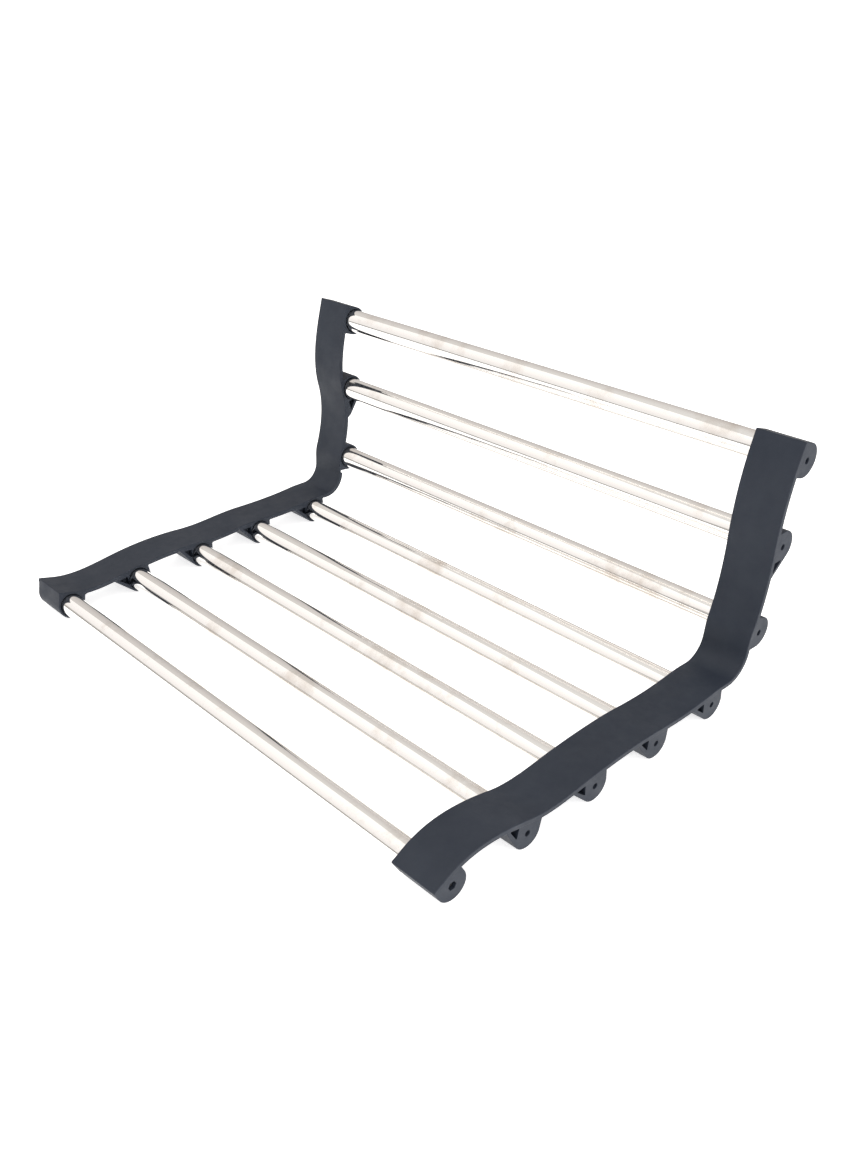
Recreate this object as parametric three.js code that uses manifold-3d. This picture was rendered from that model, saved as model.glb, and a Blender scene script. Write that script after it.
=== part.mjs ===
// Folding drying rack: eight steel tubes held between two pliable moulded side rails.
// The front five tubes make a level shelf and the rear three a leaning back.
// Millimetres. X runs along the tubes, Y from the front edge to the back, Z is up.
// The rack stands on the round undersides of the shelf's sockets, at Z = 0.
import * as THREE from "three";
import { mergeVertices } from "three/addons/utils/BufferGeometryUtils.js";
import Module from "manifold-3d";

const wasm = await Module();
wasm.setup();

// ---------- driving dimensions ----------
const GAP = 0.3; // clearance between two pieces that fit together
const TUBE_RADIUS = 10;
const TUBE_WALL = 1;
const PITCH = 69; // spacing of neighbouring tubes
const TOP_PITCH = 63.5; // and of the two topmost
const SHELF_TUBES = 5;
const BACK_TUBES = 3;
const OVERALL_WIDTH = 532; // over the outer edges of both rails
const RAIL_WIDTH = 40; // width of the strap, along X
const STRAP_THICKNESS = 4;
const SOCKET_RADIUS = 12.5; // round outside of each tube socket
const SOCKET_INSET = 1; // socket's end face lies this far inside the strap's edge
const SOCKET_END_WALL = 7;
const BACK_LEAN = 8; // degrees that the back leans from upright
const CORNER_RADIUS = 20; // to the middle of the strap
const BACK_RUN = 51; // last shelf tube to first back tube, along Y
const BACK_RISE = 42; // and along Z

const GUSSET_LENGTH = 24; // web in front of a socket, along the strap
const SHORT_GUSSET = 15.5; // on the first back socket, which is close to the bend
const POCKET_DEPTH = 6;
const POCKET_MARGIN = 2.4;

const SCREW_RADIUS = 1.25;
const SCREW_LENGTH = 14; // under the head
const HEAD_RADIUS = 2;
const HEAD_HEIGHT = 2;
const HEX_HEAD_RADIUS = 3.2; // across corners, on the front tube's screws
const COUNTERBORE_DEPTH = 4.5;
const PLUG_LENGTH = 16;

// The straps are pliable, so each socket sits turned a little about its tube and the strap waves
// between them. Degrees from the straight line, from the front tube to the top one.
const RIGHT_TURNS = [28, -14, 4, -5, 6, -10, 8, -10];
const LEFT_TURNS = [-16, 6, -6, -3, 4, -15, 20, -11];

const ROUND_STEPS = 32; // flats round a tube
const SMALL_STEPS = 14; // flats round a screw or plug
const SEGMENTS_SHARE = 2; // three.js gives a full circle two flats for each curve segment
const CURVE_STEPS = 8; // pieces of strap between two sockets

const RAIL_COLOUR = 0x3c4148;
const STEEL_COLOUR = 0xd8d5cf;
const PLUG_COLOUR = 0x2a2c2f;
const SCREW_COLOUR = 0x55585c;

// ---------- worked-out places ----------
const HALF_WIDTH = OVERALL_WIDTH / 2;
const STRAP_OFFSET = SOCKET_RADIUS - STRAP_THICKNESS / 2; // tube axis to middle of the strap
const SOCKET_FACE = HALF_WIDTH - SOCKET_INSET;
const BORE_RADIUS = TUBE_RADIUS + GAP;
const BORE_END = SOCKET_FACE - SOCKET_END_WALL;
const TUBE_HALF_LENGTH = BORE_END - GAP;
const RAIL_INNER = HALF_WIDTH - RAIL_WIDTH;
const CLEAR_HOLE_RADIUS = SCREW_RADIUS + GAP;

const radians = (degrees) => (degrees * Math.PI) / 180;
const vec = (y, z) => new THREE.Vector2(y, z);
const heading = (degrees) => vec(Math.cos(radians(degrees)), Math.sin(radians(degrees)));
const leftOf = (direction) => vec(-direction.y, direction.x);

const BACK_HEADING = 90 - BACK_LEAN;
const tubeCount = SHELF_TUBES + BACK_TUBES;
const backLength = PITCH * (BACK_TUBES - 2) + TOP_PITCH; // from its first tube to its last
const depthOfTubes =
  PITCH * (SHELF_TUBES - 1) + BACK_RUN + backLength * Math.sin(radians(BACK_LEAN));

// Tube centres in the side view, halfway between the first and the last at Y = 0.
function tubeCentres() {
  const centres = [];
  for (let i = 0; i < SHELF_TUBES; i++) {
    centres.push(vec(i * PITCH - depthOfTubes / 2, SOCKET_RADIUS));
  }
  const first = centres[SHELF_TUBES - 1].clone().add(vec(BACK_RUN, BACK_RISE));
  for (let i = 0; i < BACK_TUBES; i++) {
    const distance = Math.min(i * PITCH, backLength);
    centres.push(first.clone().addScaledVector(heading(BACK_HEADING), distance));
  }
  return centres;
}
const centres = tubeCentres();

// The bend between shelf and back: where the straight strap ends and starts again.
function cornerKnots() {
  const up = heading(BACK_HEADING);
  const backStrap = centres[SHELF_TUBES].clone().addScaledVector(leftOf(up), STRAP_OFFSET);
  const shelfHeight = SOCKET_RADIUS + STRAP_OFFSET;
  const meeting = backStrap.addScaledVector(up, (shelfHeight - backStrap.y) / up.y);
  const reach = CORNER_RADIUS * Math.tan(radians(BACK_HEADING / 2));
  return [
    { point: meeting.clone().add(vec(-reach, 0)), angle: 0 },
    { point: meeting.clone().addScaledVector(up, reach), angle: BACK_HEADING },
  ];
}

// ---------- side view of a rail ----------
// A knot is a point on the middle of the strap, with the strap's heading there in degrees.
function socketKnot(index, turns) {
  const straight = index < SHELF_TUBES ? 0 : BACK_HEADING;
  const angle = straight + turns[index];
  const point = centres[index].clone().addScaledVector(leftOf(heading(angle)), STRAP_OFFSET);
  return { point, angle };
}

// Smooth curve between two knots. Equal turns at both ends give a round arc.
function curveBetween(from, to) {
  const turn = radians(to.angle - from.angle);
  const pull = from.point.distanceTo(to.point) / Math.cos(turn / 4) ** 2 / 3;
  return new THREE.CubicBezierCurve(
    from.point,
    from.point.clone().addScaledVector(heading(from.angle), pull),
    to.point.clone().addScaledVector(heading(to.angle), -pull),
    to.point,
  );
}

// Middle line of the strap through the knots, as points with their headings.
function middleLine(knots) {
  const line = [];
  for (let i = 0; i + 1 < knots.length; i++) {
    const curve = curveBetween(knots[i], knots[i + 1]);
    const steps = i + 2 < knots.length ? CURVE_STEPS : CURVE_STEPS + 1;
    for (let k = 0; k < steps; k++) {
      const t = k / CURVE_STEPS;
      line.push({ point: curve.getPoint(t), along: curve.getTangent(t).normalize() });
    }
  }
  return line;
}

// Moves an end of the line along its own heading: outwards if distance is positive.
function extendEnd(line, atStart, distance) {
  const end = atStart ? line[0] : line[line.length - 1];
  const point = end.point.clone().addScaledVector(end.along, atStart ? -distance : distance);
  const moved = { point, along: end.along };
  if (distance < 0) line.splice(atStart ? 0 : line.length - 1, 1);
  line.splice(atStart ? 0 : line.length, 0, moved);
}

function strapOutline(line) {
  const half = STRAP_THICKNESS / 2;
  const top = line.map((e) => e.point.clone().addScaledVector(leftOf(e.along), half));
  const under = line.map((e) => e.point.clone().addScaledVector(leftOf(e.along), -half));
  return new THREE.Shape([...under, ...top.reverse()]);
}

// Maps (along, out) to the side view: along the strap's heading, and out towards its face.
function socketFrame(index, turns) {
  const { angle } = socketKnot(index, turns);
  const along = heading(angle);
  const out = leftOf(along);
  return (a, o) => centres[index].clone().addScaledVector(along, a).addScaledVector(out, o);
}

const isEnd = (index) => index === 0 || index === tubeCount - 1;

const gussetLength = (index) => (index === SHELF_TUBES ? SHORT_GUSSET : GUSSET_LENGTH);

// Tip of the gusset under the strap, and the angle at which its slope leaves the round socket.
function gussetSlope(index) {
  const tip = vec(-gussetLength(index), STRAP_OFFSET - STRAP_THICKNESS / 2);
  const angle = Math.atan2(tip.y, tip.x) + Math.acos(SOCKET_RADIUS / tip.length());
  return { tip, angle };
}

// A round underside, straight up to the strap at the rear; in front either a flat or a gusset.
function socketOutline(index, turns) {
  const place = socketFrame(index, turns);
  const slope = gussetSlope(index);
  const outline = [place(SOCKET_RADIUS, STRAP_OFFSET)];
  const frontAngle = isEnd(index) ? Math.PI : slope.angle;
  const turn = 2 * Math.PI - frontAngle;
  const steps = Math.ceil(turn / radians(15));
  for (let k = 0; k <= steps; k++) {
    const a = (-k / steps) * turn;
    outline.push(place(SOCKET_RADIUS * Math.cos(a), SOCKET_RADIUS * Math.sin(a)));
  }
  if (isEnd(index)) {
    outline.push(place(-SOCKET_RADIUS, STRAP_OFFSET));
  } else {
    outline.push(place(slope.tip.x, slope.tip.y));
    outline.push(place(slope.tip.x + POCKET_MARGIN, STRAP_OFFSET));
  }
  return new THREE.Shape(outline);
}

// Three-cornered hollow in the gusset.
function pocketOutline(index, turns) {
  const place = socketFrame(index, turns);
  const under = STRAP_OFFSET - STRAP_THICKNESS / 2 - POCKET_MARGIN / 2;
  const rear = -SOCKET_RADIUS + 2;
  const run = gussetLength(index) - SOCKET_RADIUS - POCKET_MARGIN;
  return new THREE.Shape([
    place(rear - run, under),
    place(rear, under - run),
    place(rear, under),
  ]);
}

// ---------- solids ----------
// Extrudes a side-view shape along X, from x0 to x1.
function prism(shape, x0, x1, flats = ROUND_STEPS) {
  const low = Math.min(x0, x1);
  const options = {
    depth: Math.abs(x1 - x0),
    bevelEnabled: false,
    curveSegments: flats / SEGMENTS_SHARE,
  };
  const geometry = new THREE.ExtrudeGeometry(shape, options);
  // prettier-ignore
  const toSide = new THREE.Matrix4().set(
    0, 0, 1, low,
    1, 0, 0, 0,
    0, 1, 0, 0,
    0, 0, 0, 1,
  );
  return geometry.applyMatrix4(toSide);
}

function disc(centre, radius) {
  return new THREE.Shape().absarc(centre.x, centre.y, radius, 0, 2 * Math.PI, false);
}

function hexagon(centre, radius) {
  const corners = [0, 1, 2, 3, 4, 5].map((k) =>
    centre.clone().addScaledVector(heading(k * 60), radius),
  );
  return new THREE.Shape(corners);
}

function toManifold(geometry) {
  const bare = geometry.clone();
  bare.deleteAttribute("normal");
  bare.deleteAttribute("uv");
  const welded = mergeVertices(bare, 1e-4);
  return new wasm.Manifold(
    new wasm.Mesh({
      numProp: 3,
      vertProperties: new Float32Array(welded.attributes.position.array),
      triVerts: new Uint32Array(welded.index.array),
    }),
  );
}

function toGeometry(solid) {
  const mesh = solid.getMesh();
  const geometry = new THREE.BufferGeometry();
  geometry.setAttribute("position", new THREE.BufferAttribute(mesh.vertProperties, 3));
  geometry.setIndex(new THREE.BufferAttribute(mesh.triVerts, 1));
  geometry.computeVertexNormals();
  return geometry;
}

const rack = new THREE.Group();
const railMaterial = new THREE.MeshStandardMaterial({
  color: RAIL_COLOUR,
  roughness: 0.75,
  metalness: 0,
});
const steelMaterial = new THREE.MeshStandardMaterial({
  color: STEEL_COLOUR,
  roughness: 0.18,
  metalness: 1,
});
const plugMaterial = new THREE.MeshStandardMaterial({
  color: PLUG_COLOUR,
  roughness: 0.6,
  metalness: 0,
});
const screwMaterial = new THREE.MeshStandardMaterial({
  color: SCREW_COLOUR,
  roughness: 0.35,
  metalness: 1,
});

function addMesh(name, geometry, material) {
  const mesh = new THREE.Mesh(geometry, material);
  mesh.name = name;
  rack.add(mesh);
}

// One stretch of rail: the strap along a middle line, with the sockets of the tubes it carries.
// side is 1 on the right and -1 on the left.
function railGeometry(line, sockets, turns, side) {
  const at = (x) => side * x;
  let rail = toManifold(prism(strapOutline(line), at(RAIL_INNER), at(HALF_WIDTH)));
  for (const index of sockets) {
    const block = prism(socketOutline(index, turns), at(RAIL_INNER), at(SOCKET_FACE));
    rail = rail.add(toManifold(block));
  }
  for (const index of sockets) {
    for (const cut of socketCuts(index, turns, at)) rail = rail.subtract(toManifold(cut));
  }
  return toGeometry(rail);
}

// What is taken out of a socket: the tube's bore, the screw's hole and seat, and the pockets.
function socketCuts(index, turns, at) {
  const centre = centres[index];
  const seat = SOCKET_FACE - COUNTERBORE_DEPTH;
  const seatShape =
    index === 0
      ? hexagon(centre, HEX_HEAD_RADIUS + GAP)
      : disc(centre, HEAD_RADIUS + GAP);
  const cuts = [
    prism(disc(centre, BORE_RADIUS), at(RAIL_INNER - 1), at(BORE_END)),
    prism(disc(centre, CLEAR_HOLE_RADIUS), at(BORE_END - 1), at(SOCKET_FACE), SMALL_STEPS),
    prism(seatShape, at(seat), at(SOCKET_FACE + 1), SMALL_STEPS),
  ];
  if (gussetLength(index) === GUSSET_LENGTH && !isEnd(index)) {
    const pocket = pocketOutline(index, turns);
    cuts.push(prism(pocket, at(SOCKET_FACE - POCKET_DEPTH), at(SOCKET_FACE + 1)));
    cuts.push(prism(pocket, at(RAIL_INNER - 1), at(RAIL_INNER + POCKET_DEPTH)));
  }
  return cuts;
}

function range(from, to) {
  return Array.from({ length: to - from }, (_, k) => from + k);
}

// Each rail is one moulding. It is held as three stretches, because its middle one bends.
function addRail(sideName, side, turns) {
  const knots = range(0, tubeCount).map((index) => socketKnot(index, turns));
  const corner = cornerKnots();

  const shelf = middleLine([...knots.slice(0, SHELF_TUBES), corner[0]]);
  extendEnd(shelf, true, SOCKET_RADIUS);
  extendEnd(shelf, false, -GAP / 2);
  const shelfSockets = range(0, SHELF_TUBES);
  addMesh(`${sideName}_rail_shelf`, railGeometry(shelf, shelfSockets, turns, side), railMaterial);

  const bend = middleLine(corner);
  extendEnd(bend, true, -GAP / 2);
  extendEnd(bend, false, -GAP / 2);
  addMesh(`${sideName}_rail_bend`, railGeometry(bend, [], turns, side), railMaterial);

  const back = middleLine([corner[1], ...knots.slice(SHELF_TUBES)]);
  extendEnd(back, true, -GAP / 2);
  extendEnd(back, false, SOCKET_RADIUS);
  const backSockets = range(SHELF_TUBES, tubeCount);
  addMesh(`${sideName}_rail_back`, railGeometry(back, backSockets, turns, side), railMaterial);
}

// Turns a profile of (radius, distance along the axis) about a tube's axis.
function turned(profile, centre, side, steps) {
  const points = profile.map(([r, x]) => vec(r, side * x));
  if (side < 0) points.reverse();
  const geometry = new THREE.LatheGeometry(points, steps);
  // prettier-ignore
  const toTube = new THREE.Matrix4().set(
    0, 1, 0, 0,
    0, 0, 1, centre.x,
    1, 0, 0, centre.y,
    0, 0, 0, 1,
  );
  return toGeometry(toManifold(geometry.applyMatrix4(toTube)));
}

function addTube(name, centre) {
  const outer = disc(centre, TUBE_RADIUS);
  const inner = disc(centre, TUBE_RADIUS - TUBE_WALL);
  outer.holes.push(new THREE.Path(inner.getPoints(ROUND_STEPS / SEGMENTS_SHARE)));
  addMesh(name, prism(outer, -TUBE_HALF_LENGTH, TUBE_HALF_LENGTH), steelMaterial);
}

// Ribbed plug pressed into the tube's end, with a hole that the screw cuts its thread in.
function addPlug(name, centre, side) {
  const radius = TUBE_RADIUS - TUBE_WALL - GAP;
  const mouth = TUBE_HALF_LENGTH - GAP;
  const tail = mouth - PLUG_LENGTH;
  const groove = PLUG_LENGTH / 3;
  const profile = [
    [CLEAR_HOLE_RADIUS, tail],
    [radius, tail],
    [radius, tail + groove],
    [radius - 1, tail + groove],
    [radius - 1, mouth - groove],
    [radius, mouth - groove],
    [radius, mouth],
    [CLEAR_HOLE_RADIUS, mouth],
    [CLEAR_HOLE_RADIUS, tail],
  ];
  addMesh(name, turned(profile, centre, side, SMALL_STEPS), plugMaterial);
}

// The head lies deep in its seat, with a driving recess in it.
function addScrew(name, centre, side, headRadius, steps) {
  const under = SOCKET_FACE - COUNTERBORE_DEPTH + GAP / 2;
  const top = under + HEAD_HEIGHT;
  const recess = HEAD_HEIGHT / 2;
  const profile = [
    [0, under - SCREW_LENGTH],
    [SCREW_RADIUS, under - SCREW_LENGTH],
    [SCREW_RADIUS, under],
    [headRadius, under],
    [headRadius, top],
    [SCREW_RADIUS, top],
    [SCREW_RADIUS, top - recess],
    [0, top - recess],
  ];
  addMesh(name, turned(profile, centre, side, steps), screwMaterial);
}

// ---------- assembly ----------
addRail("right", 1, RIGHT_TURNS);
addRail("left", -1, LEFT_TURNS);

centres.forEach((centre, index) => {
  const where = index < SHELF_TUBES ? "shelf" : "back";
  const number = index < SHELF_TUBES ? index + 1 : index - SHELF_TUBES + 1;
  addTube(`${where}_tube_${number}`, centre);
  for (const [sideName, side] of [["right", 1], ["left", -1]]) {
    const headRadius = index === 0 ? HEX_HEAD_RADIUS : HEAD_RADIUS;
    const steps = index === 0 ? 6 : SMALL_STEPS;
    addPlug(`${where}_plug_${number}_${sideName}`, centre, side);
    addScrew(`${where}_screw_${number}_${sideName}`, centre, side, headRadius, steps);
  }
});

// The rack is moved so that it lies centred front to back over the origin.
const bounds = new THREE.Box3().setFromObject(rack);
rack.position.y = -(bounds.min.y + bounds.max.y) / 2;
const group = new THREE.Group();
group.add(rack);

export default group;
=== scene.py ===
"""Looks for a folding drying rack: steel tubes held between two soft moulded side straps."""

import math

import bmesh
import bpy
from mathutils import Matrix, Vector


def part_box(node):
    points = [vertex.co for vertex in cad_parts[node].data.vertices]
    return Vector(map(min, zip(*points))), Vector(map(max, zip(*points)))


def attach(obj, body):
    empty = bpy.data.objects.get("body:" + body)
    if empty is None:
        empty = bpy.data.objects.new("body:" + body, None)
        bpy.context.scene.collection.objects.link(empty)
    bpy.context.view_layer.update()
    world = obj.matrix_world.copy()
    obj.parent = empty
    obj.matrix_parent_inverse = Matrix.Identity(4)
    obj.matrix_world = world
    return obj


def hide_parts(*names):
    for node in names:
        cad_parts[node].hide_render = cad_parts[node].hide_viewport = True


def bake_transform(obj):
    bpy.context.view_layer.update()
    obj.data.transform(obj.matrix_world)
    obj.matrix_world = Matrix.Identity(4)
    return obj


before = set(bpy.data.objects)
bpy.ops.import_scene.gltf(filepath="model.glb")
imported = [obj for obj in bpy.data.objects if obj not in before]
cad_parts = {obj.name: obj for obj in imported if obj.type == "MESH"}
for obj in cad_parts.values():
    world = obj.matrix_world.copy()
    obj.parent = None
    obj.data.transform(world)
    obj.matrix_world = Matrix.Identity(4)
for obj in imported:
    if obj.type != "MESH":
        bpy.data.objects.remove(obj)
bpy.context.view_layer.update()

# ---------- measures, in millimetres unless a name says otherwise ----------
TO_METRES = 0.001
SHELF_TUBES = 5
BACK_TUBES = 3
TUBE_COUNT = SHELF_TUBES + BACK_TUBES
SIDES = {"right": 1, "left": -1}

STRAP_THICKNESS = 4
CORNER_RADIUS = 20  # of the strap's middle, where shelf meets back
GUSSET_LENGTH = 24
SHORT_GUSSET = 15.5  # on the first back socket
POCKET_DEPTH = 6
POCKET_MARGIN = 2.4
SOCKET_INSET = 1  # socket's end face inside the strap's edge
BORE_CLEARANCE = 0.3
BORE_CHAMFER = 0.7
BORE_STEPS = 72
SEAT_DEPTH = 4.5
SEAT_RADIUS = 2.3
SEAT_CHAMFER = 0.25
SEAT_STEPS = 36
HEX_SEAT_RADIUS = 3.5  # across corners, front socket
SCREW_HOLE_RADIUS = 1.55
SCREW_STEPS = 36
HEAD_HEIGHT = 2
HEAD_ROUND = 0.6
TUBE_WALL = 1
RIM_INNER = 240  # the strap's outer edge is a rim that starts inside the socket blocks
RIM_INSET = 0.02
WELD_DISTANCE = 0.000002  # metres

# Each socket's turn about its tube, in degrees, from the front tube to the top one.
TURNS = {
    "right": [28, -14, 4, -5, 6, -10, 8, -10],
    "left": [-16, 6, -6, -3, 4, -15, 20, -11],
}

STRAP_STEP = 1.8  # spacing of points along the strap
JOIN_GAP = 1.5  # strap left out on both sides of a socket's outline
SHARP_TURN = math.radians(20)
ARC_STEP = 7.5  # degrees between points on a socket's round side
CORNER_ROUND = 1.1  # moulded corners in the side view
EDGE_ROUND = 0.6  # moulded edges at both ends across the rack
ROUND_STEPS = 4
TUBE_STEPS = 96

# ---------- looks ----------
STRAP_DARK = (0.013, 0.0185, 0.0305)
STRAP_LIGHT = (0.0205, 0.027, 0.041)
STRAP_DUST = (0.25, 0.26, 0.27)
STEEL_COLOUR = (0.86, 0.84, 0.815)
STEEL_SMUDGE = (0.66, 0.60, 0.545)
PLUG_DARK = (0.022, 0.022, 0.024)
PLUG_LIGHT = (0.035, 0.035, 0.038)
SCREW_DARK = (0.05, 0.052, 0.058)
SCREW_WORN = (0.16, 0.16, 0.165)

FLOOR_LEVEL = -0.2
FLOOR_HALF = 40000
FLOOR_COLOUR = (0.93, 0.93, 0.93)
FLOOR_GLOW = 0.7
WORLD_STRENGTH = 1.0
# Brightness by height, from straight down (0) through the horizon (0.5) to straight up (1).
WORLD_STOPS = (
    (0.0, (0.9, 0.9, 0.9)),
    (0.497, (0.05, 0.05, 0.05)),
    (0.518, (0.07, 0.07, 0.07)),
    (0.535, (0.56, 0.54, 0.52)),
    (0.70, (0.68, 0.64, 0.62)),
    (0.84, (0.80, 0.77, 0.74)),
    (1.0, (0.95, 0.94, 0.92)),
)

# Square lamps aimed at the rack: where each stands and its size in metres, its watts and colour.
LIGHT_TARGET = (0, 0, 0.05)
LIGHTS = {
    "key": ((0.9, -0.5, 1.4), 2.1, 13, (1.0, 0.98, 0.95)),
    "fill": ((-1.2, -0.9, 1.2), 2.1, 6, (1, 1, 1)),
    "side": ((1.5, 0.1, 0.4), 0.9, 6, (1, 1, 1)),
}

CAMERA_PLACE = (0.5944, -0.4847, 0.4762)  # metres
CAMERA_AZIMUTH = 47.64  # degrees
CAMERA_ELEVATION = 38.62
CAMERA_ROLL = -1.42
CAMERA_LENS = 32.2
CAMERA_SENSOR = 36
CAMERA_SHIFT = 0.159  # the photograph's frame sits high on the lens's axis


def node_box(name):
    low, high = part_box(name)
    return low / TO_METRES, high / TO_METRES


def tube_name(index):
    if index < SHELF_TUBES:
        return f"shelf_tube_{index + 1}"
    return f"back_tube_{index - SHELF_TUBES + 1}"


def body_name(index):
    return "shelf" if index < SHELF_TUBES else "back"


def side_point(vector):
    """The side view (Y, Z) of a point."""
    return Vector((vector.y, vector.z))


tube_boxes = [node_box(tube_name(i)) for i in range(TUBE_COUNT)]
centres = [side_point((low + high) / 2) for low, high in tube_boxes]
TUBE_RADIUS = (tube_boxes[0][1].z - tube_boxes[0][0].z) / 2
TUBE_HALF_LENGTH = tube_boxes[0][1].x

rail_low, rail_high = node_box("right_rail_shelf")
RAIL_INNER, RAIL_OUTER = rail_low.x, rail_high.x
SOCKET_FACE = RAIL_OUTER - SOCKET_INSET
SOCKET_RADIUS = centres[0].y  # the sockets stand on Z = 0
STRAP_OFFSET = SOCKET_RADIUS - STRAP_THICKNESS / 2
UNDER_STRAP = STRAP_OFFSET - STRAP_THICKNESS / 2
BORE_RADIUS = TUBE_RADIUS + BORE_CLEARANCE
BORE_END = TUBE_HALF_LENGTH + BORE_CLEARANCE
back_line = centres[-1] - centres[SHELF_TUBES]
BACK_HEADING = math.degrees(math.atan2(back_line.y, back_line.x))


# ---------- side view of a strap ----------
def heading(degrees):
    return Vector((math.cos(math.radians(degrees)), math.sin(math.radians(degrees))))


def left_of(direction):
    return Vector((-direction.y, direction.x))


def socket_angle(index, turns):
    return (0 if index < SHELF_TUBES else BACK_HEADING) + turns[index]


def socket_frame(index, turns):
    """A function from (along the strap, out towards its face) to the side view."""
    along = heading(socket_angle(index, turns))
    out = left_of(along)
    return lambda a, o: centres[index] + along * a + out * o


def corner_knots():
    """Where the straight strap ends before the corner and starts again behind it."""
    up = heading(BACK_HEADING)
    back_strap = centres[SHELF_TUBES] + left_of(up) * STRAP_OFFSET
    shelf_height = SOCKET_RADIUS + STRAP_OFFSET
    meeting = back_strap + up * ((shelf_height - back_strap.y) / up.y)
    reach = CORNER_RADIUS * math.tan(math.radians(BACK_HEADING / 2))
    return [(meeting - Vector((reach, 0)), 0), (meeting + up * reach, BACK_HEADING)]


def strap_knots(turns):
    knots = []
    for index in range(TUBE_COUNT):
        place = socket_frame(index, turns)
        knots.append((place(0, STRAP_OFFSET), socket_angle(index, turns)))
    first = socket_frame(0, turns)
    last = socket_frame(TUBE_COUNT - 1, turns)
    start = (first(-SOCKET_RADIUS, STRAP_OFFSET), knots[0][1])
    end = (last(SOCKET_RADIUS, STRAP_OFFSET), knots[-1][1])
    return [start, *knots[:SHELF_TUBES], *corner_knots(), *knots[SHELF_TUBES:], end]


def curve_between(start, end):
    """Points and headings on a smooth curve between two knots, without its last point."""
    (p0, a0), (p3, a3) = start, end
    chord = (p3 - p0).length
    pull = chord / math.cos(math.radians(a3 - a0) / 4) ** 2 / 3
    p1 = p0 + heading(a0) * pull
    p2 = p3 - heading(a3) * pull
    steps = max(2, round(chord / STRAP_STEP))
    for k in range(steps):
        t = k / steps
        u = 1 - t
        point = p0 * u**3 + p1 * (3 * u * u * t) + p2 * (3 * u * t * t) + p3 * t**3
        slope = (p1 - p0) * (u * u) + (p2 - p1) * (2 * u * t) + (p3 - p2) * (t * t)
        yield point, slope.normalized()


def middle_line(turns):
    """The strap's middle as (point, heading), and where in that list each socket's knot is."""
    knots = strap_knots(turns)
    socket_knots = [*range(1, SHELF_TUBES + 1), *range(SHELF_TUBES + 3, len(knots) - 1)]
    line, places = [], []
    for number, (start, end) in enumerate(zip(knots, knots[1:])):
        if number in socket_knots:
            places.append(len(line))
        line.extend(curve_between(start, end))
    line.append((knots[-1][0], heading(knots[-1][1])))
    return line, places


def is_end(index):
    return index in (0, TUBE_COUNT - 1)


def gusset_length(index):
    return SHORT_GUSSET if index == SHELF_TUBES else GUSSET_LENGTH


def arc(start, end, radius):
    """Points (along, out) on a socket's round side, from one angle in degrees to another."""
    steps = math.ceil(abs(end - start) / ARC_STEP)
    return [heading(start + (end - start) * k / steps) * radius for k in range(steps + 1)]


def socket_outline(index):
    """The socket's edge below the strap, in its own frame, from front to rear."""
    if is_end(index):
        return [Vector((-SOCKET_RADIUS, UNDER_STRAP)), *arc(180, 360, SOCKET_RADIUS),
                Vector((SOCKET_RADIUS, UNDER_STRAP))]
    tip = Vector((-gusset_length(index), UNDER_STRAP))
    slope = math.atan2(tip.y, tip.x) + math.acos(SOCKET_RADIUS / tip.length)
    return [tip, *arc(math.degrees(slope), 360, SOCKET_RADIUS),
            Vector((SOCKET_RADIUS, UNDER_STRAP))]


def lower_line(line, places, turns):
    """The strap's lower edge with each socket's outline let into it, from front to rear."""
    under = [point - left_of(along) * (STRAP_THICKNESS / 2) for point, along in line]
    lower = []
    done = 0
    for index, at in enumerate(places):
        place = socket_frame(index, turns)
        outline = socket_outline(index)
        along = heading(socket_angle(index, turns))
        reach = [(point - centres[index]).dot(along) for point in under]
        start = stop = at
        while start > done and reach[start] > outline[0].x - JOIN_GAP:
            start -= 1
        while stop < len(under) - 1 and reach[stop] < outline[-1].x + JOIN_GAP:
            stop += 1
        if index > 0:
            lower.extend(under[done : start + 1])
        lower.extend(place(p.x, p.y) for p in outline)
        done = stop
    return lower


def strap_outlines(turns):
    """Two closed outlines, anticlockwise: the strap with its sockets, and the bare strap."""
    line, places = middle_line(turns)
    top = [point + left_of(along) * (STRAP_THICKNESS / 2) for point, along in line]
    under = [point - left_of(along) * (STRAP_THICKNESS / 2) for point, along in line]
    whole = lower_line(line, places, turns) + top[::-1]
    bare = under + top[::-1]
    return round_corners(whole, CORNER_ROUND), round_corners(bare, CORNER_ROUND)


def round_corners(outline, radius):
    """The outline with each clear corner turned into a round arc."""
    rounded = []
    for k, point in enumerate(outline):
        before = outline[k - 1] - point
        after = outline[(k + 1) % len(outline)] - point
        turn = math.pi - before.angle(after)
        if turn < SHARP_TURN:
            rounded.append(point)
            continue
        room = 0.48 * min(before.length, after.length)
        cut = min(radius * math.tan(turn / 2), room)
        start = point + before.normalized() * cut
        hand = 1 if before.cross(after) < 0 else -1
        spoke = left_of(before.normalized()) * (hand * cut / math.tan(turn / 2))
        for j in range(ROUND_STEPS + 1):
            rounded.append(start - spoke + turned_by(spoke, hand * turn * j / ROUND_STEPS))
    return rounded


def turned_by(vector, angle):
    return Vector(
        (
            vector.x * math.cos(angle) - vector.y * math.sin(angle),
            vector.x * math.sin(angle) + vector.y * math.cos(angle),
        )
    )


def inset(outline, distance):
    moved = []
    for k, point in enumerate(outline):
        before = left_of((point - outline[k - 1]).normalized())
        after = left_of((outline[(k + 1) % len(outline)] - point).normalized())
        inward = (before + after).normalized()
        moved.append(point + inward * (distance / max(0.6, inward.dot(before))))
    return moved


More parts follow.
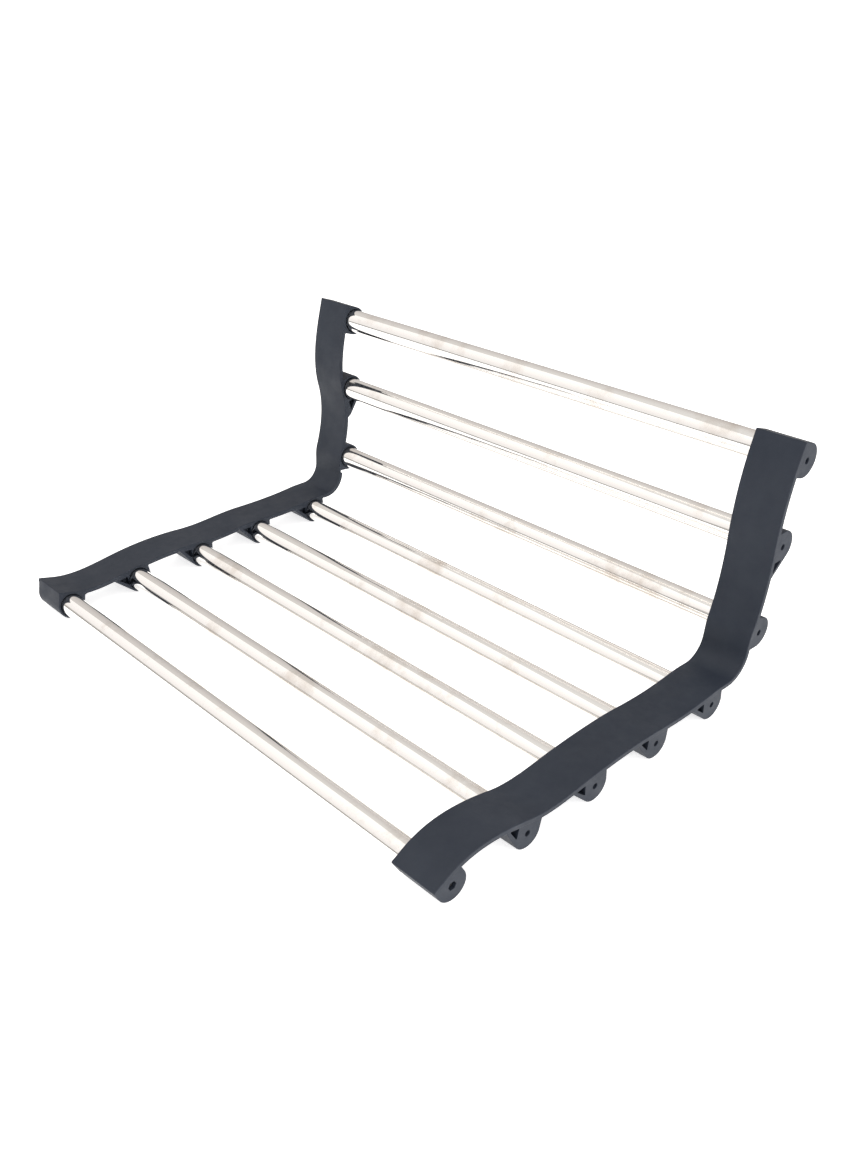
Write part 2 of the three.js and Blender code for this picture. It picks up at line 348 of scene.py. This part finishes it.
# ---------- meshes ----------
def new_piece(name, vertices, faces):
    """A piece from places in millimetres, with its faces turned outwards."""
    mesh = bpy.data.meshes.new(name)
    mesh.from_pydata([tuple(c * TO_METRES for c in v) for v in vertices], [], faces)
    piece = bpy.data.objects.new(name, mesh)
    bpy.context.scene.collection.objects.link(piece)
    shell = bmesh.new()
    shell.from_mesh(mesh)
    bmesh.ops.recalc_face_normals(shell, faces=shell.faces)
    shell.to_mesh(mesh)
    shell.free()
    return piece


def prism_parts(outline, x_start, x_end, edge, side):
    """Vertices and faces of an outline drawn out along X, with both ends' edges rounded."""
    loops = []
    for j in range(ROUND_STEPS + 1):
        angle = math.pi / 2 * j / ROUND_STEPS
        loops.append((edge * (1 - math.cos(angle)), edge * (1 - math.sin(angle))))
    if edge == 0:
        loops = [(0, 0)]
    sections = [(x_start + depth, inward) for depth, inward in loops]
    sections += [(x_end - depth, inward) for depth, inward in reversed(loops)]
    vertices = []
    for x, inward in sections:
        ring = inset(outline, inward) if inward > 0 else outline
        vertices.extend((side * x, p.x, p.y) for p in ring)
    count = len(outline)
    faces = [list(range(count)), list(range((len(sections) - 1) * count, len(vertices)))]
    for s in range(len(sections) - 1):
        for k in range(count):
            here, there = s * count + k, s * count + (k + 1) % count
            faces.append([here, there, there + count, here + count])
    return vertices, faces


def turned_parts(profile, centre, side, steps, hexagonal=()):
    """Vertices and faces of a profile (radius, x) turned about a tube's axis.
    Radius 0 closes an end. The rings listed in hexagonal are six-sided."""
    rings, vertices = [], []
    for number, (radius, x) in enumerate(profile):
        if radius == 0:
            rings.append([len(vertices)] * steps)
            vertices.append((side * x, centre.x, centre.y))
            continue
        ring = []
        for k in range(steps):
            angle = 2 * math.pi * k / steps
            reach = radius
            if number in hexagonal:
                reach *= math.cos(math.pi / 6) / math.cos(angle % (math.pi / 3) - math.pi / 6)
            ring.append(len(vertices))
            vertices.append(
                (side * x, centre.x + reach * math.cos(angle), centre.y + reach * math.sin(angle))
            )
        rings.append(ring)
    faces = []
    for near, far in zip(rings, rings[1:]):
        for k in range(steps):
            n = (k + 1) % steps
            face = [near[k], near[n], far[n], far[k]]
            face = [v for i, v in enumerate(face) if v != face[i - 1]]
            if len(face) > 2:
                faces.append(face)
    return vertices, faces


def joined(parts):
    """Several (vertices, faces) as one."""
    vertices, faces = [], []
    for part_vertices, part_faces in parts:
        start = len(vertices)
        vertices.extend(part_vertices)
        faces.extend([[start + v for v in face] for face in part_faces])
    return vertices, faces


def combine(piece, other, operation):
    modifier = piece.modifiers.new(operation.lower(), "BOOLEAN")
    modifier.operation = operation
    modifier.solver = "EXACT"
    modifier.object = other


def apply_modifiers(piece, helpers):
    graph = bpy.context.evaluated_depsgraph_get()
    made = bpy.data.meshes.new_from_object(piece.evaluated_get(graph))
    piece.modifiers.clear()
    piece.data = made
    for helper in helpers:
        bpy.data.objects.remove(helper)


def smooth(piece, sharp_degrees=38):
    """Smooth shading, broken where two faces meet at a clear angle."""
    shell = bmesh.new()
    shell.from_mesh(piece.data)
    bmesh.ops.remove_doubles(shell, verts=shell.verts, dist=WELD_DISTANCE)
    bmesh.ops.dissolve_degenerate(shell, edges=shell.edges, dist=WELD_DISTANCE)
    for face in shell.faces:
        face.smooth = True
    for edge in shell.edges:
        edge.smooth = edge.calc_face_angle(0) < math.radians(sharp_degrees)
    shell.to_mesh(piece.data)
    shell.free()
    normals = piece.modifiers.new("even_normals", "WEIGHTED_NORMAL")
    normals.keep_sharp = True


# ---------- straps ----------
def bore_profile():
    """The tube's bore with its chamfered mouth, and the screw's hole up to its seat."""
    seat = SOCKET_FACE - SEAT_DEPTH
    return [
        (0, RAIL_INNER - 1),
        (BORE_RADIUS + BORE_CHAMFER + 1, RAIL_INNER - 1),
        (BORE_RADIUS, RAIL_INNER + BORE_CHAMFER),
        (BORE_RADIUS, BORE_END),
        (SCREW_HOLE_RADIUS, BORE_END),
        (SCREW_HOLE_RADIUS, seat + 1),
        (0, seat + 1),
    ]


def seat_profile(radius):
    seat = SOCKET_FACE - SEAT_DEPTH
    mouth = SOCKET_FACE - SEAT_CHAMFER
    return [
        (0, seat),
        (radius, seat),
        (radius, mouth),
        (radius + SEAT_CHAMFER + 1, SOCKET_FACE + 1),
        (0, SOCKET_FACE + 1),
    ]


def pocket_outline(index, turns):
    """Three-cornered hollow in a gusset."""
    place = socket_frame(index, turns)
    top = UNDER_STRAP - POCKET_MARGIN / 2
    rear = 2 - SOCKET_RADIUS
    run = gusset_length(index) - SOCKET_RADIUS - POCKET_MARGIN
    corners = [place(rear - run, top), place(rear, top - run), place(rear, top)]
    return round_corners(corners, CORNER_ROUND / 2)


def has_pocket(index):
    return not is_end(index) and gusset_length(index) == GUSSET_LENGTH


def make_strap(side_name, material):
    side, turns = SIDES[side_name], TURNS[side_name]
    whole, bare = strap_outlines(turns)
    strap = new_piece(
        f"{side_name}_strap", *prism_parts(whole, RAIL_INNER, SOCKET_FACE, EDGE_ROUND, side)
    )
    rim = new_piece(
        "rim", *prism_parts(inset(bare, RIM_INSET), RIM_INNER, RAIL_OUTER, EDGE_ROUND, side)
    )
    bores = [turned_parts(bore_profile(), centre, side, BORE_STEPS) for centre in centres]
    cuts = []
    for index, centre in enumerate(centres):
        front = index == 0
        radius = HEX_SEAT_RADIUS if front else SEAT_RADIUS
        steps = 6 if front else SEAT_STEPS
        cuts.append(turned_parts(seat_profile(radius), centre, side, steps))
        if has_pocket(index):
            pocket = pocket_outline(index, turns)
            outer = SOCKET_FACE - POCKET_DEPTH
            inner = RAIL_INNER + POCKET_DEPTH
            cuts.append(prism_parts(pocket, outer, SOCKET_FACE + 1, 0, side))
            cuts.append(prism_parts(pocket, RAIL_INNER - 1, inner, 0, side))
    helpers = [rim, new_piece("bores", *joined(bores)), new_piece("cuts", *joined(cuts))]
    combine(strap, helpers[0], "UNION")
    combine(strap, helpers[1], "DIFFERENCE")
    combine(strap, helpers[2], "DIFFERENCE")
    apply_modifiers(strap, helpers)
    smooth(strap)
    strap.data.materials.clear()
    strap.data.materials.append(material)
    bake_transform(strap)
    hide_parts(*(f"{side_name}_rail_{part}" for part in ("shelf", "bend", "back")))


# ---------- tubes and screws ----------
def make_tube(index, material):
    outer, inner = TUBE_RADIUS, TUBE_RADIUS - TUBE_WALL
    end, edge = TUBE_HALF_LENGTH, TUBE_WALL / 4
    half = [
        (inner, end - edge),
        (inner + edge, end),
        (outer - edge, end),
        (outer, end - edge),
    ]
    profile = half + [(radius, -x) for radius, x in reversed(half)]
    profile.append(profile[0])
    tube = new_piece(
        f"polished_tube_{index + 1}", *turned_parts(profile, centres[index], 1, TUBE_STEPS)
    )
    smooth(tube)
    tube.data.materials.append(material)
    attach(tube, body_name(index))
    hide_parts(tube_name(index))


def screw_name(index, side_name):
    number = index + 1 if index < SHELF_TUBES else index - SHELF_TUBES + 1
    return f"{body_name(index)}_screw_{number}_{side_name}"


def make_screw(index, side_name, material):
    """A screw with a low rounded head and a six-sided driving recess."""
    low, high = node_box(screw_name(index, side_name))
    tip, top = sorted((abs(low.x), abs(high.x)))
    head = (high.z - low.z) / 2
    shank = SCREW_HOLE_RADIUS - BORE_CLEARANCE
    under = top - HEAD_HEIGHT
    shoulder = top - HEAD_ROUND
    recess = head * 0.45
    floor = top - HEAD_HEIGHT * 0.55
    profile = [
        (0, tip),
        (shank * 0.6, tip + 0.2),
        (shank, tip + 1.6),
        (shank, under),
        (head, under),
        (head, shoulder),
        (head - HEAD_ROUND * 0.3, top - HEAD_ROUND * 0.3),
        (head - HEAD_ROUND, top),
        (recess + 0.15, top),
        (recess, top - 0.15),
        (recess, floor),
        (0, floor - 0.3),
    ]
    hexagonal = {8, 9, 10}
    if index == 0:
        hexagonal |= {4, 5, 6, 7}
    centre = centres[index]
    parts = turned_parts(profile, centre, SIDES[side_name], SCREW_STEPS, hexagonal)
    screw = new_piece(f"screw_{index + 1}_{side_name}", *parts)
    smooth(screw)
    screw.data.materials.append(material)
    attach(screw, body_name(index))
    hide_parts(screw_name(index, side_name))


# ---------- materials ----------
def new_material(name, **values):
    """A material with its plain numbers set on the shader, and that shader."""
    material = bpy.data.materials.new(name)
    material.use_nodes = True
    shader = material.node_tree.nodes["Principled BSDF"]
    for socket, value in values.items():
        shader.inputs[socket.replace("_", " ")].default_value = value
    return material, shader


def add_node(material, kind, inputs=None, **settings):
    node = material.node_tree.nodes.new(kind)
    for key, value in settings.items():
        setattr(node, key, value)
    for socket, value in (inputs or {}).items():
        if isinstance(value, bpy.types.NodeSocket):
            material.node_tree.links.new(value, node.inputs[socket])
        else:
            node.inputs[socket].default_value = value
    return node


def surface_place(material, stretch=(1, 1, 1)):
    place = add_node(material, "ShaderNodeTexCoord").outputs["Object"]
    return add_node(
        material, "ShaderNodeVectorMath", {0: place, 1: stretch}, operation="MULTIPLY"
    ).outputs["Vector"]


def noise(material, place, scale, detail=4, roughness=0.55):
    inputs = {"Vector": place, "Scale": scale, "Detail": detail, "Roughness": roughness}
    return add_node(material, "ShaderNodeTexNoise", inputs).outputs["Fac"]


def ramp(material, factor, *stops):
    """Colours by factor: each stop is (position, colour)."""
    node = add_node(material, "ShaderNodeValToRGB", {"Fac": factor})
    elements = node.color_ramp.elements
    while len(elements) < len(stops):
        elements.new(0.5)
    for element, (position, colour) in zip(elements, stops):
        element.position = position
        element.color = (*colour, 1)
    return node.outputs["Color"]


def spread(material, factor, low, high, start=0.0, end=1.0):
    inputs = {"Value": factor, "From Min": start, "From Max": end, "To Min": low, "To Max": high}
    return add_node(material, "ShaderNodeMapRange", inputs).outputs["Result"]


def mix(material, factor, first, second):
    node = add_node(material, "ShaderNodeMix", data_type="RGBA")
    links = material.node_tree.links
    for socket, value in ((0, factor), (6, first), (7, second)):
        if isinstance(value, bpy.types.NodeSocket):
            links.new(value, node.inputs[socket])
        elif socket == 0:
            node.inputs[0].default_value = value
        else:
            node.inputs[socket].default_value = (*value, 1)
    return node.outputs[2]


def bump(material, shader, height, distance, strength=1.0):
    inputs = {"Height": height, "Distance": distance, "Strength": strength}
    node = add_node(material, "ShaderNodeBump", inputs)
    material.node_tree.links.new(node.outputs["Normal"], shader.inputs["Normal"])


def connect(material, output, socket):
    material.node_tree.links.new(output, socket)


def strap_material():
    """Soft moulded rubber: matte charcoal, a fine grain, faint cloudy handling marks, some dust."""
    material, shader = new_material("strap_rubber", Specular_IOR_Level=0.35)
    place = surface_place(material)
    cloud = noise(material, place, 22, 5)
    tone = ramp(material, cloud, (0.3, STRAP_DARK), (0.7, STRAP_LIGHT))
    dust = ramp(
        material, noise(material, place, 900, 2), (0.76, (0, 0, 0)), (0.8, (1, 1, 1))
    )
    specks = spread(material, dust, 0, 0.12)
    connect(material, mix(material, specks, tone, STRAP_DUST), shader.inputs["Base Color"])
    rub = spread(material, noise(material, place, 60, 6, 0.65), 0.5, 0.68, 0.3, 0.7)
    connect(material, rub, shader.inputs["Roughness"])
    grain = noise(material, place, 2600, 3, 0.6)
    bump(material, shader, grain, 0.00006, 0.5)
    return material


def tube_material():
    """Polished stainless steel: fine polishing lines along the tube and faint warm smudges."""
    material, shader = new_material("polished_steel", Metallic=1.0)
    place = surface_place(material)
    along = surface_place(material, (1, 26, 26))
    lines = noise(material, along, 14, 4, 0.6)
    smudge = spread(material, noise(material, place, 26, 5, 0.6), 0, 1, 0.54, 0.76)
    colour = mix(material, smudge, STEEL_COLOUR, STEEL_SMUDGE)
    connect(material, colour, shader.inputs["Base Color"])
    base = spread(material, lines, 0.05, 0.09, 0.3, 0.7)
    haze = spread(material, smudge, 0, 0.12)
    rough = add_node(material, "ShaderNodeMath", {0: base, 1: haze}, operation="ADD")
    connect(material, rough.outputs[0], shader.inputs["Roughness"])
    bump(material, shader, lines, 0.00001, 0.12)
    return material


def plug_material():
    material, shader = new_material("moulded_plug", Specular_IOR_Level=0.4)
    place = surface_place(material)
    tone = ramp(material, noise(material, place, 80), (0.3, PLUG_DARK), (0.7, PLUG_LIGHT))
    connect(material, tone, shader.inputs["Base Color"])
    shade = spread(material, noise(material, place, 300), 0.45, 0.65)
    connect(material, shade, shader.inputs["Roughness"])
    bump(material, shader, noise(material, place, 1500), 0.00005, 0.4)
    return material


def screw_material():
    """Dark plated steel, a little brighter in patches where the plating is rubbed."""
    material, shader = new_material("dark_plated_steel", Metallic=1.0)
    place = surface_place(material)
    worn = noise(material, place, 700, 5)
    tone = ramp(material, worn, (0.35, SCREW_DARK), (0.75, SCREW_WORN))
    connect(material, tone, shader.inputs["Base Color"])
    connect(material, spread(material, worn, 0.5, 0.32), shader.inputs["Roughness"])
    bump(material, shader, noise(material, place, 3000), 0.00003, 0.4)
    return material


def floor_material():
    material, shader = new_material("pale_floor", Specular_IOR_Level=0.0, Roughness=1.0)
    shader.inputs["Base Color"].default_value = (*FLOOR_COLOUR, 1)
    shader.inputs["Emission Color"].default_value = (1, 1, 1, 1)
    shader.inputs["Emission Strength"].default_value = FLOOR_GLOW
    return material


# ---------- surroundings ----------
def make_floor():
    vertices = [(x, y, FLOOR_LEVEL) for x, y in ((-1, -1), (1, -1), (1, 1), (-1, 1))]
    vertices = [(x * FLOOR_HALF, y * FLOOR_HALF, z) for x, y, z in vertices]
    floor = new_piece("floor", vertices, [[0, 1, 2, 3]])
    floor.data.materials.append(floor_material())


def make_world():
    """Soft white studio surroundings, a little greyer low down, with a dim line at the horizon."""
    world = bpy.data.worlds.new("studio")
    bpy.context.scene.world = world
    world.use_nodes = True
    place = add_node(world, "ShaderNodeTexCoord").outputs["Generated"]
    height = add_node(world, "ShaderNodeSeparateXYZ", {"Vector": place}).outputs["Z"]
    shade = ramp(world, spread(world, height, 0, 1, -1, 1), *WORLD_STOPS)
    background = world.node_tree.nodes["Background"]
    world.node_tree.links.new(shade, background.inputs["Color"])
    background.inputs["Strength"].default_value = WORLD_STRENGTH


def make_light(name, place, size, watts, colour):
    data = bpy.data.lights.new(name, "AREA")
    data.size = size
    data.energy = watts
    data.color = colour
    light = bpy.data.objects.new(name, data)
    light.location = place
    light.rotation_mode = "QUATERNION"
    light.rotation_quaternion = (Vector(place) - Vector(LIGHT_TARGET)).to_track_quat("Z", "Y")
    bpy.context.scene.collection.objects.link(light)


def make_camera():
    data = bpy.data.cameras.new("camera")
    data.lens = CAMERA_LENS
    data.sensor_width = CAMERA_SENSOR
    data.shift_y = CAMERA_SHIFT
    data.clip_start = 0.05
    camera = bpy.data.objects.new("camera", data)
    bpy.context.scene.collection.objects.link(camera)
    turn = Matrix.Rotation(math.radians(CAMERA_AZIMUTH), 4, "Z")
    tilt = Matrix.Rotation(math.radians(90 - CAMERA_ELEVATION), 4, "X")
    roll = Matrix.Rotation(math.radians(CAMERA_ROLL), 4, "Z")
    camera.matrix_world = Matrix.Translation(CAMERA_PLACE) @ turn @ tilt @ roll
    bpy.context.scene.camera = camera


# ---------- the rack ----------
rubber = strap_material()
steel = tube_material()
plating = screw_material()
moulded = plug_material()

for side_name in SIDES:
    make_strap(side_name, rubber)
for index in range(TUBE_COUNT):
    make_tube(index, steel)
    for side_name in SIDES:
        make_screw(index, side_name, plating)
for name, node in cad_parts.items():
    if "_plug_" in name:
        node.material_slots[0].material = moulded

make_floor()
make_world()
for name, settings in LIGHTS.items():
    make_light(name, *settings)
make_camera()
bpy.context.scene.view_settings.view_transform = "Standard"
